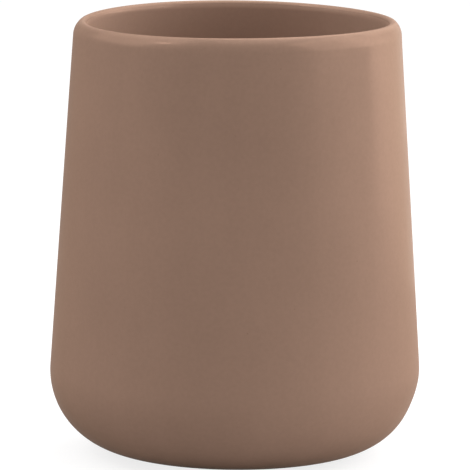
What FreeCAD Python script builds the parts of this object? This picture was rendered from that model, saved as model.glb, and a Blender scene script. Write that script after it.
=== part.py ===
"""Bathroom tumbler: one cast ceramic cup that stands on four self-adhesive base pads.

Millimetres, +Z up. The origin is on the surface that the tumbler stands on, under the cup's axis.
"""
import FreeCAD
import Part
import Sketcher

import math
import os

# Driving dimensions, in millimetres unless the comment says otherwise
SIZES = {
    "overall_height": 100.0,     # from the standing surface to the top of the lip
    "max_diameter": 85.0,        # across the widest point, at the top of the heel
    "wall_taper": 3.75,          # degrees that each side leans in towards the lip
    "heel_radius": 18.2,         # outside, from the foot round into the wall
    "lip_outer_radius": 4.5,     # soft outer shoulder of the lip
    "lip_inner_radius": 1.0,     # tighter edge inside the mouth
    "wall_at_lip": 3.0,
    "wall_at_heel": 3.6,
    "floor_thickness": 4.0,
    "foot_ring_width": 3.3,      # ring of bare clay round the recess
    "recess_depth": 1.5,
    "recess_rim_radius": 0.4,
    "recess_root_radius": 0.6,
    "pad_count": 4,
    "pad_diameter": 10.0,
    "pad_edge_radius": 0.4,
    "pad_clearance": 0.9,        # between a pad and the rounded root of the recess
    "pad_standoff": 0.6,         # how far the pads hold the foot ring off the surface
    "adhesive_thickness": 0.2,
}

# Sizes that follow from the driving ones, as expressions in the document
FOOT_RADIUS = "(Sizes.max_diameter / 2 - Sizes.heel_radius)"
RECESS_RADIUS = f"({FOOT_RADIUS} - Sizes.foot_ring_width)"
RECESS_LEVEL = "(Sizes.pad_standoff + Sizes.recess_depth)"
FLOOR_LEVEL = f"({RECESS_LEVEL} + Sizes.floor_thickness)"
PAD_THICKNESS = f"({RECESS_LEVEL} - Sizes.adhesive_thickness)"
PAD_RADIUS = "(Sizes.pad_diameter / 2)"
PAD_CIRCLE_RADIUS = f"({RECESS_RADIUS} - Sizes.recess_root_radius - Sizes.pad_clearance - {PAD_RADIUS})"

# The sketcher's numbers for its own origin and vertical axis, and for the points of a line or arc
ORIGIN, VERTICAL_AXIS = range(-1, -3, -1)
START, END, CENTRE = range(1, 4)

FULL_TURN = 360.0


def make_sheet(doc):
    """Puts the driving dimensions into a spreadsheet, one alias each."""
    sheet = doc.addObject("Spreadsheet::Sheet", "Sizes")
    for row, (name, value) in enumerate(SIZES.items(), start=1):
        sheet.set(f"A{row}", name)
        sheet.set(f"B{row}", str(value))
        sheet.setAlias(f"B{row}", name)
    doc.recompute()
    return sheet


def add_sketch(body, name, role):
    """An empty sketch on one of the body's own origin planes."""
    plane = next(feature for feature in body.Origin.OriginFeatures if feature.Role == role)
    sketch = body.newObject("Sketcher::SketchObject", name)
    sketch.AttachmentSupport = [(plane, "")]
    sketch.MapMode = "FlatFace"
    return sketch


def add_size(sketch, name, expression, kind, *place):
    """A named dimension of a sketch, bound to the sheet."""
    value = sketch.evalExpression(expression)
    if kind == "Angle":
        value = math.radians(value)
    index = sketch.addConstraint(Sketcher.Constraint(kind, *place, value))
    sketch.renameConstraint(index, name)
    sketch.setExpression(f"Constraints.{name}", expression)


def add_line(sketch, start, end):
    """A line between two (across, up) points of the sketch."""
    return sketch.addGeometry(Part.LineSegment(FreeCAD.Vector(*start, 0), FreeCAD.Vector(*end, 0)))


def add_arc(sketch, centre, radius, first, last):
    """An arc round an (across, up) point, anticlockwise between two angles in degrees."""
    circle = Part.Circle(FreeCAD.Vector(*centre, 0), FreeCAD.Vector(0, 0, 1), radius)
    return sketch.addGeometry(Part.ArcOfCircle(circle, math.radians(first), math.radians(last)))


def add_circle(sketch, name, expression):
    """A circle round the sketch's origin, its radius bound to the sheet."""
    radius = sketch.evalExpression(expression)
    circle = sketch.addGeometry(Part.Circle(FreeCAD.Vector(0, 0, 0), FreeCAD.Vector(0, 0, 1), radius))
    sketch.addConstraint(Sketcher.Constraint("Coincident", circle, CENTRE, ORIGIN, START))
    add_size(sketch, name, expression, "Radius", circle)


def draw_cup_section(sketch, sheet):
    """Half of the cup's section, drawn near its final form and then settled by its constraints."""
    lean = sheet.wall_taper
    foot_level = sheet.pad_standoff
    floor_level = sketch.evalExpression(FLOOR_LEVEL)
    foot_radius = sketch.evalExpression(FOOT_RADIUS)
    heel_level = foot_level + sheet.heel_radius
    inner_heel_radius = sheet.heel_radius - sheet.wall_at_heel
    inner_heel_level = floor_level + inner_heel_radius
    wide_radius = sheet.max_diameter / 2
    inner_wide_radius = wide_radius - sheet.wall_at_heel
    shoulder_level = sheet.overall_height - sheet.lip_outer_radius
    lip_level = sheet.overall_height - sheet.lip_inner_radius
    mouth_radius = wide_radius - (shoulder_level - heel_level) * math.tan(math.radians(lean))
    inner_mouth_radius = mouth_radius - sheet.wall_at_lip
    shoulder_centre = (mouth_radius - sheet.lip_outer_radius, shoulder_level)
    lip_centre = (inner_mouth_radius + sheet.lip_inner_radius, lip_level)

    foot = add_line(sketch, (0, foot_level), (foot_radius, foot_level))
    heel = add_arc(sketch, (foot_radius, heel_level), sheet.heel_radius, -90, lean)
    wall = add_line(sketch, (wide_radius, heel_level), (mouth_radius, shoulder_level))
    shoulder = add_arc(sketch, shoulder_centre, sheet.lip_outer_radius, lean, 45)
    lip = add_arc(sketch, lip_centre, sheet.lip_inner_radius, 45, 180)
    inner_wall = add_line(sketch, (inner_mouth_radius, lip_level), (inner_wide_radius, inner_heel_level))
    inner_heel = add_arc(sketch, (foot_radius, inner_heel_level), inner_heel_radius, -90, lean)
    floor = add_line(sketch, (foot_radius, floor_level), (0, floor_level))
    axis = add_line(sketch, (0, floor_level), (0, foot_level))

    # Arcs run anticlockwise, so the section comes to the inner heel at its end.
    smooth_joins = [
        (foot, END, heel, START),
        (heel, END, wall, START),
        (wall, END, shoulder, START),
        (shoulder, END, lip, START),
        (lip, END, inner_wall, START),
        (inner_wall, END, inner_heel, END),
        (inner_heel, START, floor, START),
    ]
    for join in smooth_joins:
        sketch.addConstraint(Sketcher.Constraint("Tangent", *join))
    sketch.addConstraint(Sketcher.Constraint("Coincident", floor, END, axis, START))
    sketch.addConstraint(Sketcher.Constraint("Coincident", axis, END, foot, START))
    sketch.addConstraint(Sketcher.Constraint("PointOnObject", axis, START, VERTICAL_AXIS))
    sketch.addConstraint(Sketcher.Constraint("PointOnObject", axis, END, VERTICAL_AXIS))
    sketch.addConstraint(Sketcher.Constraint("Horizontal", foot))
    sketch.addConstraint(Sketcher.Constraint("Horizontal", floor))

    add_size(sketch, "foot_level", "Sizes.pad_standoff", "DistanceY", ORIGIN, START, foot, START)
    add_size(sketch, "foot_radius", FOOT_RADIUS, "DistanceX", ORIGIN, START, heel, CENTRE)
    add_size(sketch, "heel_radius", "Sizes.heel_radius", "Radius", heel)
    add_size(sketch, "wall_angle", "90 + Sizes.wall_taper", "Angle", wall)
    add_size(sketch, "lip_outer_radius", "Sizes.lip_outer_radius", "Radius", shoulder)
    add_size(sketch, "lip_inner_radius", "Sizes.lip_inner_radius", "Radius", lip)
    lip_height = "Sizes.overall_height - Sizes.lip_inner_radius"
    add_size(sketch, "lip_level", lip_height, "DistanceY", ORIGIN, START, lip, CENTRE)
    add_size(sketch, "wall_at_lip", "Sizes.wall_at_lip", "Distance", inner_wall, START, wall)
    add_size(sketch, "wall_at_heel", "Sizes.wall_at_heel", "Distance", inner_wall, END, wall)
    add_size(sketch, "inner_heel_radius", "Sizes.heel_radius - Sizes.wall_at_heel", "Radius", inner_heel)
    add_size(sketch, "floor_level", FLOOR_LEVEL, "DistanceY", ORIGIN, START, floor, END)


def circular_edge(shape, radius, level):
    """The name of the edge that runs round the shape's own axis at a radius and a height."""
    tolerance = 1e-4
    for number, edge in enumerate(shape.Edges, start=1):
        if edge.Curve.TypeId != "Part::GeomCircle":
            continue
        if abs(edge.Curve.Radius - radius) < tolerance and abs(edge.Curve.Center.z - level) < tolerance:
            return f"Edge{number}"
    raise RuntimeError(f"no circular edge of radius {radius} at height {level}")


def round_edge(body, name, radius, level, size):
    """Rounds one circular edge of the body by a size of the sheet."""
    base = body.Tip
    edge = circular_edge(base.Shape, body.evalExpression(radius), body.evalExpression(level))
    fillet = body.newObject("PartDesign::Fillet", name)
    fillet.Base = (base, [edge])
    fillet.setExpression("Radius", f"Sizes.{size}")
    body.Document.recompute()


def make_cup(doc, sheet):
    """The cast ceramic cup: a turned section with a shallow recess under its foot."""
    cup = doc.addObject("PartDesign::Body", "tumbler_body")
    section = add_sketch(cup, "cup_section", "XZ_Plane")
    draw_cup_section(section, sheet)
    turned = cup.newObject("PartDesign::Revolution", "turned_cup")
    turned.Profile = section
    turned.ReferenceAxis = (section, ["V_Axis"])
    turned.Angle = FULL_TURN
    doc.recompute()

    outline = add_sketch(cup, "recess_outline", "XY_Plane")
    outline.setExpression("AttachmentOffset.Base.z", "Sizes.pad_standoff")
    add_circle(outline, "recess_radius", RECESS_RADIUS)
    recess = cup.newObject("PartDesign::Pocket", "foot_recess")
    recess.Profile = outline
    recess.setExpression("Length", "Sizes.recess_depth")
    recess.Reversed = True
    doc.recompute()

    round_edge(cup, "recess_root", RECESS_RADIUS, RECESS_LEVEL, "recess_root_radius")
    round_edge(cup, "recess_rim", RECESS_RADIUS, "Sizes.pad_standoff", "recess_rim_radius")
    return cup


def place_on_pad_circle(piece, angle, level):
    """Puts a piece on the circle of the pads, at an angle in degrees and a height."""
    piece.setExpression("Placement.Base.x", f"{PAD_CIRCLE_RADIUS} * cos({angle})")
    piece.setExpression("Placement.Base.y", f"{PAD_CIRCLE_RADIUS} * sin({angle})")
    piece.setExpression("Placement.Base.z", level)


def make_pad(doc, number, angle):
    """One soft base pad: a flat disc with its ground edge rounded."""
    pad = doc.addObject("PartDesign::Body", f"base_pad_{number}")
    outline = add_sketch(pad, f"pad_outline_{number}", "XY_Plane")
    add_circle(outline, "pad_radius", PAD_RADIUS)
    disc = pad.newObject("PartDesign::Pad", f"pad_disc_{number}")
    disc.Profile = outline
    disc.setExpression("Length", PAD_THICKNESS)
    doc.recompute()
    round_edge(pad, f"pad_edge_{number}", PAD_RADIUS, "0", "pad_edge_radius")
    place_on_pad_circle(pad, angle, "0")
    return pad


def make_adhesive(doc, number, angle):
    """The film of adhesive between one pad and the roof of the recess."""
    film = doc.addObject("Part::Cylinder", f"pad_adhesive_{number}")
    film.setExpression("Radius", PAD_RADIUS)
    film.setExpression("Height", "Sizes.adhesive_thickness")
    place_on_pad_circle(film, angle, PAD_THICKNESS)
    return film


def check(doc, pieces):
    """Stops with a message if an object failed or a piece is not one valid solid."""
    for item in doc.Objects:
        if "Invalid" in item.State or "Error" in item.State:
            raise RuntimeError(f"{item.Label} failed: {item.State}")
    for piece in pieces:
        if piece.Shape.isNull() or not piece.Shape.isValid() or len(piece.Shape.Solids) != 1:
            raise RuntimeError(f"{piece.Label} is not one valid solid")


def write_pieces(pieces):
    """Writes one file for each piece and prints its size."""
    os.makedirs("parts", exist_ok=True)
    for piece in pieces:
        piece.Shape.exportStep(f"parts/{piece.Label}.step")
        box = piece.Shape.optimalBoundingBox(False, False)
        size = f"{box.XLength:.2f} x {box.YLength:.2f} x {box.ZLength:.2f} mm"
        print(f"{piece.Label}: {size}, {piece.Shape.Volume:.1f} cubic mm")


def main():
    doc = FreeCAD.newDocument("bathroom_tumbler")
    sheet = make_sheet(doc)
    pieces = [make_cup(doc, sheet)]
    count = round(sheet.pad_count)
    pad_step = FULL_TURN / count
    for number in range(1, count + 1):
        angle = (number - 0.5) * pad_step
        pieces.append(make_pad(doc, number, angle))
        pieces.append(make_adhesive(doc, number, angle))
    doc.recompute()
    check(doc, pieces)
    write_pieces(pieces)


main()
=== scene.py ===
"""Bathroom tumbler: the looks of the part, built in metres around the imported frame."""
import math

import bmesh
import bpy
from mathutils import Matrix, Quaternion, Vector


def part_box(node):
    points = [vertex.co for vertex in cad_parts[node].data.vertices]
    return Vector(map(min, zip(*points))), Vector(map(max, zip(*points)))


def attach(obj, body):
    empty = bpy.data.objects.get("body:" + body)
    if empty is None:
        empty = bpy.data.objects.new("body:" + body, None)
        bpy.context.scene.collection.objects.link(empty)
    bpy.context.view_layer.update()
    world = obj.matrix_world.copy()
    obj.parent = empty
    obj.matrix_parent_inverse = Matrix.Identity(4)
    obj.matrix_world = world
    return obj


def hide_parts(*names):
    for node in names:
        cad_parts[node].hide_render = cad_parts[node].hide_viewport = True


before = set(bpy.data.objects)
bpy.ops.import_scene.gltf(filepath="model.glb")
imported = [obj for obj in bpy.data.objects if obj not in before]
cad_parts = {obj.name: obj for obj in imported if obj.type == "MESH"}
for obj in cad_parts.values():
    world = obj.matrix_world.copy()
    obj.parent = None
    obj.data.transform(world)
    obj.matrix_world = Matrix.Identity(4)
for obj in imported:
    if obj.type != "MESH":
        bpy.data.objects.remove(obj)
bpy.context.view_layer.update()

MM = 0.001
QUARTER = math.pi / 2

# The cup's section, as it is built
cup_low, cup_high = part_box("tumbler_body")
FOOT_LEVEL = cup_low.z
LIP_TOP = cup_high.z
MAX_RADIUS = cup_high.x
WALL_LEAN = math.radians(3.75)
HEEL_RADIUS = 18.2 * MM
LIP_OUTER_RADIUS = 4.5 * MM
LIP_EDGE_RADIUS = 0.94 * MM
LIP_EASE_RADIUS = 5 * MM
LIP_TURN = math.radians(44.4)
WALL_AT_LIP = 3.0 * MM
WALL_AT_HEEL = 3.6 * MM
FLOOR_THICKNESS = 4.0 * MM
FOOT_RING_WIDTH = 3.3 * MM
RECESS_DEPTH = 1.5 * MM
RECESS_RIM_RADIUS = 0.4 * MM
RECESS_ROOT_RADIUS = 0.6 * MM

# The glaze is wiped off the foot ring, which leaves a bare band with a rounded glaze edge on each side
GLAZE_THICKNESS = 0.15 * MM
BARE_TURN = math.radians(4.5)
BARE_WALL = 0.2 * MM

# What follows from these sizes
FOOT_RADIUS = MAX_RADIUS - HEEL_RADIUS
RECESS_RADIUS = FOOT_RADIUS - FOOT_RING_WIDTH
RECESS_LEVEL = FOOT_LEVEL + RECESS_DEPTH
FLOOR_LEVEL = RECESS_LEVEL + FLOOR_THICKNESS
HEEL_CENTRE = (FOOT_RADIUS, FOOT_LEVEL + HEEL_RADIUS)
BARE_HEEL_RADIUS = HEEL_RADIUS - GLAZE_THICKNESS
INNER_HEEL_RADIUS = HEEL_RADIUS - WALL_AT_HEEL
INNER_HEEL_LEVEL = FLOOR_LEVEL + INNER_HEEL_RADIUS

# The fired cup is not quite true. On the right its heel is tucked in and its lip flares a little. Its rim is
# a shallow saddle, high at the front and back and low at the sides, most on the left. The saddle is turned,
# so that its left low point lies a little to the front and its right one a little to the back.
HEEL_TUCK = 0.42 * MM
HEEL_TUCK_LEVEL = 12 * MM
HEEL_TUCK_REACH = 5.5 * MM
LIP_FLARE = 0.2 * MM
LIP_FLARE_REACH = 6 * MM
RIM_SADDLE = 0.43 * MM
RIM_TILT = 0.1 * MM
RIM_REACH = 25 * MM
RIM_TURN = math.radians(20.5)

# The pads
PAD_COUNT = 4
PAD_EDGE_RADIUS = 0.4 * MM
PAD_BULGE = 0.12 * MM

# The cup's materials, in their order on its mesh; the inner glaze is a lighter copy of the outer one,
# painted light inside the cup
OUTER_GLAZE, BARE_CLAY, INNER_GLAZE_PAINTED_LIGHT = range(3)

# Mesh steps round the axis, and along each stretch of a section
CUP_SEGMENTS = 192
PAD_SEGMENTS = 72
RECESS_STEPS = 12
RECESS_ROOT_STEPS = 6
RECESS_RIM_STEPS = 5
GLAZE_EDGE_STEPS = 3
FOOT_RING_STEPS = 16
BARE_HEEL_STEPS = 6
HEEL_STEPS = 60
WALL_STEPS = 40
SHOULDER_STEPS = 14
LIP_EDGE_STEPS = 14
LIP_EASE_STEPS = 8
INNER_HEEL_STEPS = 36
FLOOR_STEPS = 14
PAD_FACE_STEPS = 6
PAD_EDGE_STEPS = 8
PAD_SIDE_STEPS = 8

# Colours, in linear light
GLAZE_COLOUR = (0.264, 0.165, 0.121, 1)
# The inner glaze is the outer glaze painted lighter: painted light standing in for the light inside the cup
GLAZE_INNER_PAINTED_LIGHT_COLOUR = (0.343, 0.22, 0.163, 1)
GLAZE_EDGE_COLOUR = (0.55, 0.56, 0.51, 1)
GLAZE_SPECK_COLOUR = (0.12, 0.065, 0.042, 1)
GLAZE_FLECK_COLOUR = (0.46, 0.32, 0.24, 1)
# Paler colour over the lip's top: a painted highlight of the light from above
GLAZE_LIP_HIGHLIGHT_COLOUR = (0.33, 0.21, 0.155, 1)
CLAY_COLOUR = (0.58, 0.5, 0.4, 1)
CLAY_STAIN_COLOUR = (0.4, 0.3, 0.21, 1)
FOAM_COLOUR = (0.5, 0.48, 0.45, 1)
# Darker colour in the foam cells' hollows: painted shade
FOAM_HOLLOW_SHADE_COLOUR = (0.36, 0.34, 0.315, 1)
FILM_COLOUR = (0.62, 0.57, 0.48, 1)
FILM_FIBRE_COLOUR = (0.74, 0.7, 0.62, 1)
WHITE = (1, 1, 1, 1)

# Noise: how fine its smallest features get, and the range that it mostly stays in
SOFT_DETAIL = 2.0
MEDIUM_DETAIL = 3.0
FINE_DETAIL = 4.0
NOISE_LOW = 0.3
NOISE_HIGH = 0.7

# The glaze's tone: clouds, runs drawn out along the height, and grain, each as a range of brightness
CLOUD_SIZE = 30 * MM
CLOUD_TONE = (0.97, 1.03)
RUN_SIZE = 9 * MM
RUN_SCALE = (1, 1, 0.12)
RUN_TONE = (0.985, 1.015)
GRAIN_SIZE = 0.9 * MM
GRAIN_TONE = (0.975, 1.025)
# How far down from the lip's top the painted highlight reaches
LIP_HIGHLIGHT_REACH = 1.3 * MM

# Specks and flecks: the rarity is the share of cells that have none, and a dot fades outside its core
SPECK_SPACING = 3.4 * MM
SPECK_RADIUS = 0.22 * MM
SPECK_RARITY = 0.8
SPECK_STRENGTH = 0.35
FLECK_SPACING = 9 * MM
FLECK_RADIUS = 0.3 * MM
FLECK_RARITY = 0.9
FLECK_STRENGTH = 0.6
DOT_CORE = 0.4

# The glaze's relief, and its gloss, which takes the body's tint as the highlights in the photograph do
PEEL_SIZE = 3.2 * MM
PEEL_DEPTH = 0.006 * MM
GRAIN_DEPTH = 0.002 * MM
GLOSS_SHARE = 0.12
GLOSS_CLOUD_SIZE = 10 * MM
GLOSS_ROUGHNESS = (0.17, 0.23)

# Bare clay
CLAY_GRAIN_SIZE = 0.35 * MM
CLAY_GRAIN_DEPTH = 0.02 * MM
CLAY_TONE = (0.85, 1.1)
CLAY_ROUGHNESS = (0.8, 0.95)
CLAY_SPECULAR = 0.2
STAIN_SIZE = 7.5 * MM
STAIN_SHARE = (0, 0.6)
STAIN_LOW = 0.45
STAIN_HIGH = 0.75

# Foam and adhesive film
FOAM_CELL_SIZE = 0.32 * MM
FOAM_CELL_DEPTH = 0.05 * MM
FOAM_WALL_START = 0.1
FOAM_WALL_END = 0.6
FOAM_CLOUD_SIZE = 2.56 * MM
FOAM_TONE = (0.92, 1.06)
FOAM_ROUGHNESS = (0.7, 0.88)
FIBRE_SIZE = 0.25 * MM
FIBRE_SCALE = (1, 0.1, 1)
FILM_ROUGHNESS = (0.25, 0.45)

# The stage: the floor lies a hair under the pads, and most lamps face the cup's middle
FLOOR_HALF = 4.0
FLOOR_GAP = 0.05 * MM
FLOOR_GLOW = 0.8
FLOOR_SHADE_COLOUR = (0.25, 0.25, 0.25, 1)
TABLE_COLOUR = (0.62, 0.62, 0.62, 1)
SURROUND_STRENGTH = 1.0
FILL_STRENGTH = 0.355
CUP_MIDDLE = (0, 0, 0.05)

# The camera, fitted to the photograph's outline; the sensor's width is in millimetres
FRAME_PIXELS = 470
FOCAL_PIXELS = 5234
SENSOR_WIDTH = 36.0
CAMERA_DISTANCE = 1.2
CAMERA_ELEVATION = math.radians(9.36)
CAMERA_ROLL = math.radians(0.44)
CAMERA_AIM = Vector((-0.2 * MM, 0, 50.05 * MM))


def offset(point, angle, distance):
    """The section point at a distance from another, in a direction given by an angle in radians."""
    return (point[0] + distance * math.cos(angle), point[1] + distance * math.sin(angle))


def arc(centre, radius, first, last, steps):
    """Section points on an arc between two angles, without its first one."""
    points = []
    for step in range(1, steps + 1):
        points.append(offset(centre, first + (last - first) * step / steps, radius))
    return points


def line(start, end, steps):
    """Section points on a straight run, without its first one."""
    points = []
    for step in range(1, steps + 1):
        share = step / steps
        points.append((start[0] + (end[0] - start[0]) * share, start[1] + (end[1] - start[1]) * share))
    return points


def recess_points():
    """The glazed foot recess, from its middle to the glaze's edge, a short way above the foot ring."""
    root_centre = (RECESS_RADIUS - RECESS_ROOT_RADIUS, RECESS_LEVEL - RECESS_ROOT_RADIUS)
    edge_centre = (RECESS_RADIUS + GLAZE_THICKNESS, FOOT_LEVEL + RECESS_RIM_RADIUS + BARE_WALL)
    points = [(0, RECESS_LEVEL)]
    points += line(points[-1], (root_centre[0], RECESS_LEVEL), RECESS_STEPS)
    points += arc(root_centre, RECESS_ROOT_RADIUS, QUARTER, 0, RECESS_ROOT_STEPS)
    points.append((RECESS_RADIUS, edge_centre[1]))
    points += arc(edge_centre, GLAZE_THICKNESS, math.pi, math.pi + QUARTER, GLAZE_EDGE_STEPS)
    return points


def bare_ring_points():
    """The bare foot ring, one glaze thickness under the glazed surface."""
    rim_centre = (RECESS_RADIUS + RECESS_RIM_RADIUS, FOOT_LEVEL + RECESS_RIM_RADIUS)
    rim_radius = RECESS_RIM_RADIUS - GLAZE_THICKNESS
    points = [(RECESS_RADIUS + GLAZE_THICKNESS, rim_centre[1])]
    points += arc(rim_centre, rim_radius, math.pi, math.pi + QUARTER, RECESS_RIM_STEPS)
    points += line(points[-1], (FOOT_RADIUS, FOOT_LEVEL + GLAZE_THICKNESS), FOOT_RING_STEPS)
    points += arc(HEEL_CENTRE, BARE_HEEL_RADIUS, -QUARTER, BARE_TURN - QUARTER, BARE_HEEL_STEPS)
    return points


def lip_centres():
    """The centres of the lip's broad shoulder and of the small edge arc that touches it from inside."""
    wall_foot = offset(HEEL_CENTRE, WALL_LEAN, HEEL_RADIUS)
    shoulder_base = offset(wall_foot, WALL_LEAN, -LIP_OUTER_RADIUS)
    edge_base = offset(shoulder_base, WALL_LEAN + LIP_TURN, LIP_OUTER_RADIUS - LIP_EDGE_RADIUS)
    climb = (LIP_TOP - LIP_EDGE_RADIUS - edge_base[1]) / math.cos(WALL_LEAN)
    up_the_wall = WALL_LEAN + QUARTER
    return offset(shoulder_base, up_the_wall, climb), offset(edge_base, up_the_wall, climb)


def lip_ease_turn():
    """How far the soft ease turns, from the lip's edge to the inner wall, at the wall's thickness there."""
    depth_outside = LIP_OUTER_RADIUS - (LIP_OUTER_RADIUS - LIP_EDGE_RADIUS) * math.cos(LIP_TURN)
    depth_inside = WALL_AT_LIP - depth_outside
    return math.acos((LIP_EASE_RADIUS - depth_inside) / (LIP_EASE_RADIUS - LIP_EDGE_RADIUS))


def inner_wall_lean(edge_centre):
    """The wall grows a little thicker towards the heel, so the inner wall leans less than the outer one."""
    length = (edge_centre[1] - INNER_HEEL_LEVEL) / math.cos(WALL_LEAN)
    return WALL_LEAN - math.atan((WALL_AT_HEEL - WALL_AT_LIP) / length)


def inside_points(edge_centre, lean, edge_end):
    """The lip's ease, the inner wall, the inner heel and the floor, after the end of the lip's edge."""
    ease_centre = offset(edge_centre, edge_end, LIP_EDGE_RADIUS - LIP_EASE_RADIUS)
    wall_top = offset(ease_centre, math.pi + lean, LIP_EASE_RADIUS)
    drop = (wall_top[1] - INNER_HEEL_LEVEL) / math.cos(lean) - INNER_HEEL_RADIUS * math.sin(lean)
    wall_foot = offset(wall_top, lean - QUARTER, drop)
    heel_centre = (offset(wall_foot, lean, -INNER_HEEL_RADIUS)[0], INNER_HEEL_LEVEL)
    points = arc(ease_centre, LIP_EASE_RADIUS, edge_end, math.pi + lean, LIP_EASE_STEPS)
    points += line(points[-1], wall_foot, WALL_STEPS)
    points += arc(heel_centre, INNER_HEEL_RADIUS, lean, -QUARTER, INNER_HEEL_STEPS)
    points += line(points[-1], (0, FLOOR_LEVEL), FLOOR_STEPS)
    return points


def cup_section():
    """The cup's section from the middle of the foot recess, round the lip, to the middle of the floor.

    Also returns the first and last points of the bare foot ring, and the last point of the lip's edge.
    """
    shoulder_centre, edge_centre = lip_centres()
    edge_start = WALL_LEAN + LIP_TURN
    lean = inner_wall_lean(edge_centre)
    edge_end = math.pi + lean - lip_ease_turn()
    glaze_turn = BARE_TURN - QUARTER + GLAZE_THICKNESS / BARE_HEEL_RADIUS
    glaze_edge_centre = offset(HEEL_CENTRE, glaze_turn, BARE_HEEL_RADIUS)
    points = recess_points()
    bare_start = len(points) - 1
    points += bare_ring_points()
    bare_end = len(points) - 1
    points += arc(glaze_edge_centre, GLAZE_THICKNESS, glaze_turn - QUARTER, glaze_turn, GLAZE_EDGE_STEPS)
    points += arc(HEEL_CENTRE, HEEL_RADIUS, glaze_turn, WALL_LEAN, HEEL_STEPS)
    points += line(points[-1], offset(shoulder_centre, WALL_LEAN, LIP_OUTER_RADIUS), WALL_STEPS)
    points += arc(shoulder_centre, LIP_OUTER_RADIUS, WALL_LEAN, edge_start, SHOULDER_STEPS)
    points += arc(edge_centre, LIP_EDGE_RADIUS, edge_start, edge_end, LIP_EDGE_STEPS)
    lip_edge = len(points) - 1
    points += inside_points(edge_centre, lean, edge_end)
    return points, bare_start, bare_end, lip_edge


def pad_section(low, high):
    """One pad's section, from the middle of its ground face to the middle of its upper face."""
    radius = (high.x - low.x) / 2
    edge_centre = (radius - PAD_EDGE_RADIUS, low.z + PAD_EDGE_RADIUS)
    points = [(0, low.z)]
    points += line(points[-1], (edge_centre[0], low.z), PAD_FACE_STEPS)
    points += arc(edge_centre, PAD_EDGE_RADIUS, -QUARTER, 0, PAD_EDGE_STEPS)
    for share, height in line((0, edge_centre[1]), (1, high.z), PAD_SIDE_STEPS):
        points.append((radius + PAD_BULGE * math.sin(math.pi * share), height))
    points += line(points[-1], (0, high.z), PAD_FACE_STEPS)
    return points


def add_object(name, data):
    """A new object in the scene, for a mesh, a lamp or the camera."""
    thing = bpy.data.objects.new(name, data)
    bpy.context.scene.collection.objects.link(thing)
    return thing


def add_ring(shape, centre, radius, height, segments):
    """A ring of corners round an axis."""
    ring = []
    for step in range(segments):
        across, along = offset(centre, 2 * math.pi * step / segments, radius)
        ring.append(shape.verts.new((across, along, height)))
    return ring


def join_rings(shape, ring, next_ring):
    """A row of four-sided faces between two rings."""
    for step, corner in enumerate(ring):
        after = (step + 1) % len(ring)
        shape.faces.new((corner, ring[after], next_ring[after], next_ring[step]))


def close_ring(shape, ring, centre, height):
    """A row of three-sided faces from a ring to a point on the axis."""
    pole = shape.verts.new((centre[0], centre[1], height))
    for step, corner in enumerate(ring):
        shape.faces.new((pole, corner, ring[(step + 1) % len(ring)]))


def lathe(name, section, segments, centre=(0, 0)):
    """A turned mesh object from a section that starts and ends on its axis."""
    shape = bmesh.new()
    rings = [add_ring(shape, centre, radius, height, segments) for radius, height in section[1:-1]]
    for ring, next_ring in zip(rings, rings[1:]):
        join_rings(shape, ring, next_ring)
    for ring, (_, height) in ((rings[0], section[0]), (rings[-1], section[-1])):
        close_ring(shape, ring, centre, height)
    bmesh.ops.recalc_face_normals(shape, faces=shape.faces)
    for face in shape.faces:
        face.smooth = True
    mesh = bpy.data.meshes.new(name)
    shape.to_mesh(mesh)
    shape.free()
    return add_object(name, mesh)


def add_node(tree, kind, inputs=None, **settings):
    """A shader node; each input is a value or another node's output."""
    node = tree.nodes.new(kind)
    for name, value in settings.items():
        setattr(node, name, value)
    for name, value in (inputs or {}).items():
        if isinstance(value, bpy.types.NodeSocket):
            tree.links.new(value, node.inputs[name])
        else:
            node.inputs[name].default_value = value
    return node


def new_material(name):
    """A material without nodes, and its node tree."""
    material = bpy.data.materials.new(name)
    material.use_nodes = True
    material.node_tree.nodes.clear()
    return material, material.node_tree


def set_surface(tree, shader):
    add_node(tree, "ShaderNodeOutputMaterial", {"Surface": shader.outputs[0]})


def own_place(tree):
    """The object's own coordinates, in metres."""
    return add_node(tree, "ShaderNodeTexCoord").outputs["Object"]


def noise(tree, place, size, detail=SOFT_DETAIL):
    """Soft noise around one half, with features of about the given size."""
    node = add_node(tree, "ShaderNodeTexNoise", {"Vector": place, "Scale": 1 / size, "Detail": detail})
    return node.outputs["Fac"]


def cells(tree, place, size):
    """Random cells: the outputs are the distance to a cell's middle, in cell sizes, and its own colour."""
    return add_node(tree, "ShaderNodeTexVoronoi", {"Vector": place, "Scale": 1 / size}).outputs


def stretched(tree, place, scale):
    """Coordinates whose scale is small along one axis, which draws out along it what they carry."""
    return add_node(tree, "ShaderNodeMapping", {"Vector": place, "Scale": scale}).outputs["Vector"]


def spread(tree, value, first, last, low=NOISE_LOW, high=NOISE_HIGH):
    """Takes a value from one range to another, and holds it at the ends."""
    node = add_node(tree, "ShaderNodeMapRange", {
        "Value": value, "From Min": low, "From Max": high, "To Min": first, "To Max": last})
    return node.outputs["Result"]


def combine(tree, operation, first, second):
    return add_node(tree, "ShaderNodeMath", {0: first, 1: second}, operation=operation).outputs[0]


def mix_colour(tree, share, first, second):
    """Two colours mixed by a share; these sockets share their names, so they go by number."""
    node = add_node(tree, "ShaderNodeMix", {0: share, 6: first, 7: second}, data_type="RGBA")
    return node.outputs[2]


def shade(tree, colour, brightness):
    return add_node(tree, "ShaderNodeHueSaturation", {"Color": colour, "Value": brightness}).outputs["Color"]


def height_above(tree, place):
    return add_node(tree, "ShaderNodeSeparateXYZ", {"Vector": place}).outputs["Z"]


def bump(tree, height, depth, under=None):
    """Fine relief of a real depth, on top of other relief if there is any."""
    inputs = {"Height": height, "Distance": depth}
    if under is not None:
        inputs["Normal"] = under
    return add_node(tree, "ShaderNodeBump", inputs).outputs["Normal"]


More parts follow.
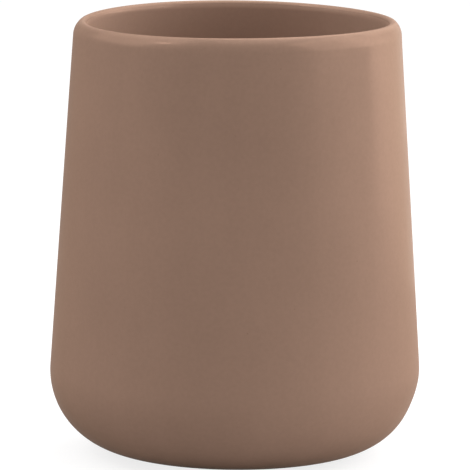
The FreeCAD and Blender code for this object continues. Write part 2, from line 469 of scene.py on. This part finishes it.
def dots(tree, place, spacing, radius, rarity, strength):
    """Round dots of one radius in the few cells that the rarity leaves."""
    spots = cells(tree, place, spacing)
    chance = add_node(tree, "ShaderNodeSeparateColor", {"Color": spots["Color"]}).outputs["Red"]
    chosen = combine(tree, "GREATER_THAN", chance, rarity)
    edge = radius / spacing
    disc = spread(tree, spots["Distance"], 1, 0, low=DOT_CORE * edge, high=edge)
    return combine(tree, "MULTIPLY", combine(tree, "MULTIPLY", chosen, disc), strength)


def glaze_tone(tree, place, grain):
    """The glaze's brightness: clouds, faint runs and fine grain."""
    clouds = spread(tree, noise(tree, place, CLOUD_SIZE, FINE_DETAIL), *CLOUD_TONE)
    run_place = stretched(tree, place, RUN_SCALE)
    runs = spread(tree, noise(tree, run_place, RUN_SIZE, MEDIUM_DETAIL), *RUN_TONE)
    tone = combine(tree, "MULTIPLY", clouds, runs)
    return combine(tree, "MULTIPLY", tone, spread(tree, grain, *GRAIN_TONE))


def glaze_colour(tree, place, body_colour, tone):
    """The glaze's colour: paler towards the lip's top, a painted highlight of the light from above, with
    dark specks and pale flecks.
    """
    lip_highlight = spread(tree, height_above(tree, place), 0, 1, low=LIP_TOP - LIP_HIGHLIGHT_REACH, high=LIP_TOP)
    specks = dots(tree, place, SPECK_SPACING, SPECK_RADIUS, SPECK_RARITY, SPECK_STRENGTH)
    flecks = dots(tree, place, FLECK_SPACING, FLECK_RADIUS, FLECK_RARITY, FLECK_STRENGTH)
    colour = mix_colour(tree, lip_highlight, body_colour, GLAZE_LIP_HIGHLIGHT_COLOUR)
    colour = mix_colour(tree, specks, shade(tree, colour, tone), GLAZE_SPECK_COLOUR)
    return mix_colour(tree, flecks, colour, GLAZE_FLECK_COLOUR)


def glaze_material(name, body_colour):
    """Matte glaze with a soft gloss, which has no white reflection of its own but takes the body's tint."""
    material, tree = new_material(name)
    place = own_place(tree)
    grain = noise(tree, place, GRAIN_SIZE, MEDIUM_DETAIL)
    gloss_clouds = noise(tree, place, GLOSS_CLOUD_SIZE, MEDIUM_DETAIL)
    peel = bump(tree, noise(tree, place, PEEL_SIZE), PEEL_DEPTH)
    set_surface(tree, add_node(tree, "ShaderNodeBsdfPrincipled", {
        "Base Color": glaze_colour(tree, place, body_colour, glaze_tone(tree, place, grain)),
        "Roughness": spread(tree, gloss_clouds, *GLOSS_ROUGHNESS),
        "Metallic": GLOSS_SHARE,
        "Specular IOR Level": 0,
        "Specular Tint": GLAZE_EDGE_COLOUR,
        "Normal": bump(tree, grain, GRAIN_DEPTH, peel),
    }))
    return material


def clay_material():
    """Bare fired clay: sandy, and a little stained."""
    material, tree = new_material("bare_clay")
    place = own_place(tree)
    grain = noise(tree, place, CLAY_GRAIN_SIZE, FINE_DETAIL)
    clouds = noise(tree, place, STAIN_SIZE, FINE_DETAIL)
    stain = spread(tree, clouds, *STAIN_SHARE, low=STAIN_LOW, high=STAIN_HIGH)
    colour = mix_colour(tree, stain, CLAY_COLOUR, CLAY_STAIN_COLOUR)
    set_surface(tree, add_node(tree, "ShaderNodeBsdfPrincipled", {
        "Base Color": shade(tree, colour, spread(tree, grain, *CLAY_TONE)),
        "Roughness": spread(tree, grain, *CLAY_ROUGHNESS),
        "Specular IOR Level": CLAY_SPECULAR,
        "Normal": bump(tree, grain, CLAY_GRAIN_DEPTH),
    }))
    return material


def foam_material():
    """Closed-cell foam: small round cells with paler walls, darker in their hollows, which is painted shade.
    """
    material, tree = new_material("pad_foam")
    place = own_place(tree)
    distance = cells(tree, place, FOAM_CELL_SIZE)["Distance"]
    wall = spread(tree, distance, 0, 1, low=FOAM_WALL_START, high=FOAM_WALL_END)
    colour = mix_colour(tree, wall, FOAM_HOLLOW_SHADE_COLOUR, FOAM_COLOUR)
    set_surface(tree, add_node(tree, "ShaderNodeBsdfPrincipled", {
        "Base Color": shade(tree, colour, spread(tree, noise(tree, place, FOAM_CLOUD_SIZE), *FOAM_TONE)),
        "Roughness": spread(tree, wall, *FOAM_ROUGHNESS),
        "Normal": bump(tree, wall, FOAM_CELL_DEPTH),
    }))
    return material


def film_material():
    """Smooth adhesive film with a faint carrier of fibres."""
    material, tree = new_material("adhesive_film")
    fibres = noise(tree, stretched(tree, own_place(tree), FIBRE_SCALE), FIBRE_SIZE, FINE_DETAIL)
    set_surface(tree, add_node(tree, "ShaderNodeBsdfPrincipled", {
        "Base Color": mix_colour(tree, spread(tree, fibres, 0, 1), FILM_COLOUR, FILM_FIBRE_COLOUR),
        "Roughness": spread(tree, fibres, *FILM_ROUGHNESS),
        "Normal": bump(tree, fibres, GRAIN_DEPTH),
    }))
    return material


def seen_directly(tree):
    """One for what the camera sees, also in gloss and through glass; nought for the light that falls."""
    path = add_node(tree, "ShaderNodeLightPath").outputs
    seen = combine(tree, "MAXIMUM", path["Is Camera Ray"], path["Is Glossy Ray"])
    return combine(tree, "MAXIMUM", seen, path["Is Transmission Ray"])


def either(tree, falling, seen):
    """One shader for the light that falls on things, and another for what is seen directly."""
    return add_node(tree, "ShaderNodeMixShader", {
        0: seen_directly(tree), 1: falling.outputs[0], 2: seen.outputs[0]})


def floor_material():
    """White to the camera and in reflections, with the object's shadow; a plain grey table to the light."""
    material, tree = new_material("pale_floor")
    glow = add_node(tree, "ShaderNodeEmission", {"Color": WHITE, "Strength": FLOOR_GLOW})
    lit = add_node(tree, "ShaderNodeBsdfDiffuse", {"Color": FLOOR_SHADE_COLOUR})
    white = add_node(tree, "ShaderNodeAddShader", {0: glow.outputs[0], 1: lit.outputs[0]})
    table = add_node(tree, "ShaderNodeBsdfDiffuse", {"Color": TABLE_COLOUR})
    set_surface(tree, either(tree, table, white))
    return material


def outward_fault(place, across):
    """How far a point of the cup lies too far out: more at the flared lip, less at the tucked heel."""
    to_right = max(0, place.x / across) ** 2
    from_tuck = (place.z - HEEL_TUCK_LEVEL) / HEEL_TUCK_REACH
    near_lip = max(0, 1 - (LIP_TOP - place.z) / LIP_FLARE_REACH)
    return to_right * (LIP_FLARE * near_lip ** 2 - HEEL_TUCK * math.exp(-from_tuck ** 2))


def rim_drop(place, across):
    """How far a point of the cup lies too low under the saddle of the rim, which fades out downwards."""
    beside = (place.x * math.cos(RIM_TURN) + place.y * math.sin(RIM_TURN)) / across
    near_rim = max(0, 1 - (LIP_TOP - place.z) / RIM_REACH)
    return max(0, beside * (RIM_SADDLE * beside - RIM_TILT)) * near_rim ** 2


def settle(mesh):
    """Gives the turned cup the small faults of a fired one."""
    for corner in mesh.vertices:
        place = corner.co
        across = math.hypot(place.x, place.y)
        if across == 0:
            continue
        shift = outward_fault(place, across)
        drop = rim_drop(place, across)
        place.x += shift * place.x / across
        place.y += shift * place.y / across
        place.z -= drop


def make_cup():
    section, bare_start, bare_end, lip_edge = cup_section()
    piece = lathe("cup", section, CUP_SEGMENTS)
    settle(piece.data)
    piece.data.materials.append(glaze_material("matte_glaze", GLAZE_COLOUR))
    piece.data.materials.append(clay_material())
    # A lighter copy of the glaze for the inside of the cup: painted light
    piece.data.materials.append(glaze_material("inner_glaze_painted_light", GLAZE_INNER_PAINTED_LIGHT_COLOUR))
    # The mesh leaves out the section's first point, and its last rows close the recess and the floor.
    recess_row = len(section) - 2
    for number, face in enumerate(piece.data.polygons):
        face.material_index = OUTER_GLAZE
        row = number // CUP_SEGMENTS + 1
        if bare_start <= row < bare_end:
            face.material_index = BARE_CLAY
        elif row >= lip_edge and row != recess_row:
            face.material_index = INNER_GLAZE_PAINTED_LIGHT
    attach(piece, "root")
    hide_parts("tumbler_body")


def make_pads():
    foam = foam_material()
    film = film_material()
    for number in range(1, PAD_COUNT + 1):
        node = f"base_pad_{number}"
        low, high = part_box(node)
        centre = ((low.x + high.x) / 2, (low.y + high.y) / 2)
        piece = lathe(f"pad_{number}", pad_section(low, high), PAD_SEGMENTS, centre)
        piece.data.materials.append(foam)
        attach(piece, "root")
        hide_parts(node)
        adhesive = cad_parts[f"pad_adhesive_{number}"]
        for slot in adhesive.material_slots:
            slot.material = film


def make_floor():
    mesh = bpy.data.meshes.new("floor")
    corners = []
    for across, along in ((-1, -1), (1, -1), (1, 1), (-1, 1)):
        corners.append((across * FLOOR_HALF, along * FLOOR_HALF, -FLOOR_GAP))
    mesh.from_pydata(corners, [], [(0, 1, 2, 3)])
    floor = add_object("floor", mesh)
    floor.data.materials.append(floor_material())


def make_camera():
    data = bpy.data.cameras.new("camera")
    data.sensor_width = SENSOR_WIDTH
    data.lens = SENSOR_WIDTH * FOCAL_PIXELS / FRAME_PIXELS
    camera = add_object("camera", data)
    ahead = Vector((0, math.cos(CAMERA_ELEVATION), -math.sin(CAMERA_ELEVATION)))
    camera.location = CAMERA_AIM - ahead * CAMERA_DISTANCE
    turn = ahead.to_track_quat("-Z", "Y") @ Quaternion((0, 0, 1), CAMERA_ROLL)
    camera.rotation_euler = turn.to_euler()
    bpy.context.scene.camera = camera


def make_world():
    """A white surround for what is seen, and a weaker fill for the light that falls."""
    world = bpy.data.worlds.new("studio")
    world.use_nodes = True
    tree = world.node_tree
    tree.nodes.clear()
    white = add_node(tree, "ShaderNodeBackground", {"Color": WHITE, "Strength": SURROUND_STRENGTH})
    fill = add_node(tree, "ShaderNodeBackground", {"Color": WHITE, "Strength": FILL_STRENGTH})
    add_node(tree, "ShaderNodeOutputWorld", {"Surface": either(tree, fill, white).outputs[0]})
    bpy.context.scene.world = world


def add_softbox(name, place, aim, size, power):
    """A soft rectangular lamp at a place in metres, facing another place, and not seen by the camera."""
    lamp = bpy.data.lights.new(name, "AREA")
    lamp.shape = "RECTANGLE"
    lamp.size, lamp.size_y = size
    lamp.energy = power
    softbox = add_object(name, lamp)
    softbox.location = place
    softbox.rotation_euler = (Vector(place) - Vector(aim)).to_track_quat("Z", "Y").to_euler()
    softbox.visible_camera = False


def make_lights():
    """A key and a side lamp on the right, a panel and a strip behind, two above and four on the left."""
    add_softbox("key_softbox", place=(0.78, -0.14, 0.48), aim=CUP_MIDDLE, size=(0.9, 0.9), power=6.45)
    add_softbox("side_softbox", place=(0.8, 0.29, 0.36), aim=CUP_MIDDLE, size=(0.6, 0.6), power=2.05)
    add_softbox("rear_panel", place=(0.49, 0.22, 0.2), aim=(0.49, 0, 0.2), size=(0.82, 0.396), power=2.4)
    add_softbox("rear_strip", place=(0.5, 0.21, 0.095), aim=(0.5, 0, 0.095), size=(0.8, 0.1), power=0.34)
    add_softbox("top_softbox", place=(0.17, 0.35, 0.85), aim=CUP_MIDDLE, size=(0.7, 0.7), power=3.6)
    add_softbox("over_softbox", place=(0.08, -0.3, 0.82), aim=CUP_MIDDLE, size=(0.5, 0.45), power=0.52)
    add_softbox("left_softbox", place=(-0.63, 0.11, 0.69), aim=CUP_MIDDLE, size=(0.9, 0.9), power=5.5)
    add_softbox("front_softbox", place=(-0.6, -0.27, 0.63), aim=CUP_MIDDLE, size=(0.6, 0.6), power=0.9)
    add_softbox("low_panel", place=(-0.53, -0.28, 0.17), aim=(0, 0, 0.17), size=(0.4, 0.24), power=0.13)
    add_softbox("glint_lamp", place=(-0.537, -0.237, 0.7), aim=CUP_MIDDLE, size=(0.07, 0.07), power=0.42)


make_cup()
make_pads()
make_floor()
make_camera()
make_world()
make_lights()
bpy.context.scene.view_settings.view_transform = "Standard"
